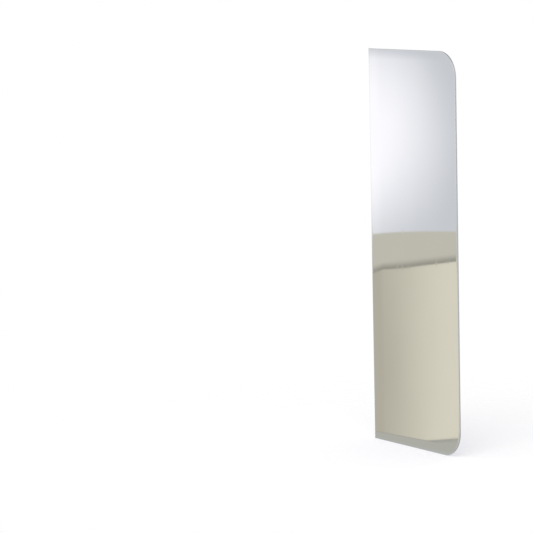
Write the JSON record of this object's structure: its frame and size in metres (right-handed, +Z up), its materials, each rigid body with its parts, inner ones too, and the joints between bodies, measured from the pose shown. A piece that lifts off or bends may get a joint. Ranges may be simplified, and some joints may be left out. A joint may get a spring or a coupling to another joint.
{
  "type": "icing smoother",
  "caption": "Tall flat plate of mirror-polished stainless steel for smoothing icing: a straight scraping edge on one side, rounded palm corners on the other.",
  "frame": {"origin": "middle of the foot, the short edge that stands on the cake board, half way through the sheet", "axes": "+Z up the height of the plate, +X from the scraping edge to the grip edge, -Y out of the broad face that the picture shows"},
  "size_m": [0.09, 0.001, 0.25],
  "materials": {
    "steel": "mirror-polished stainless steel"
  },
  "bodies": {
    "root": {"smoother_plate": "steel"}
  },
  "joints": []
}
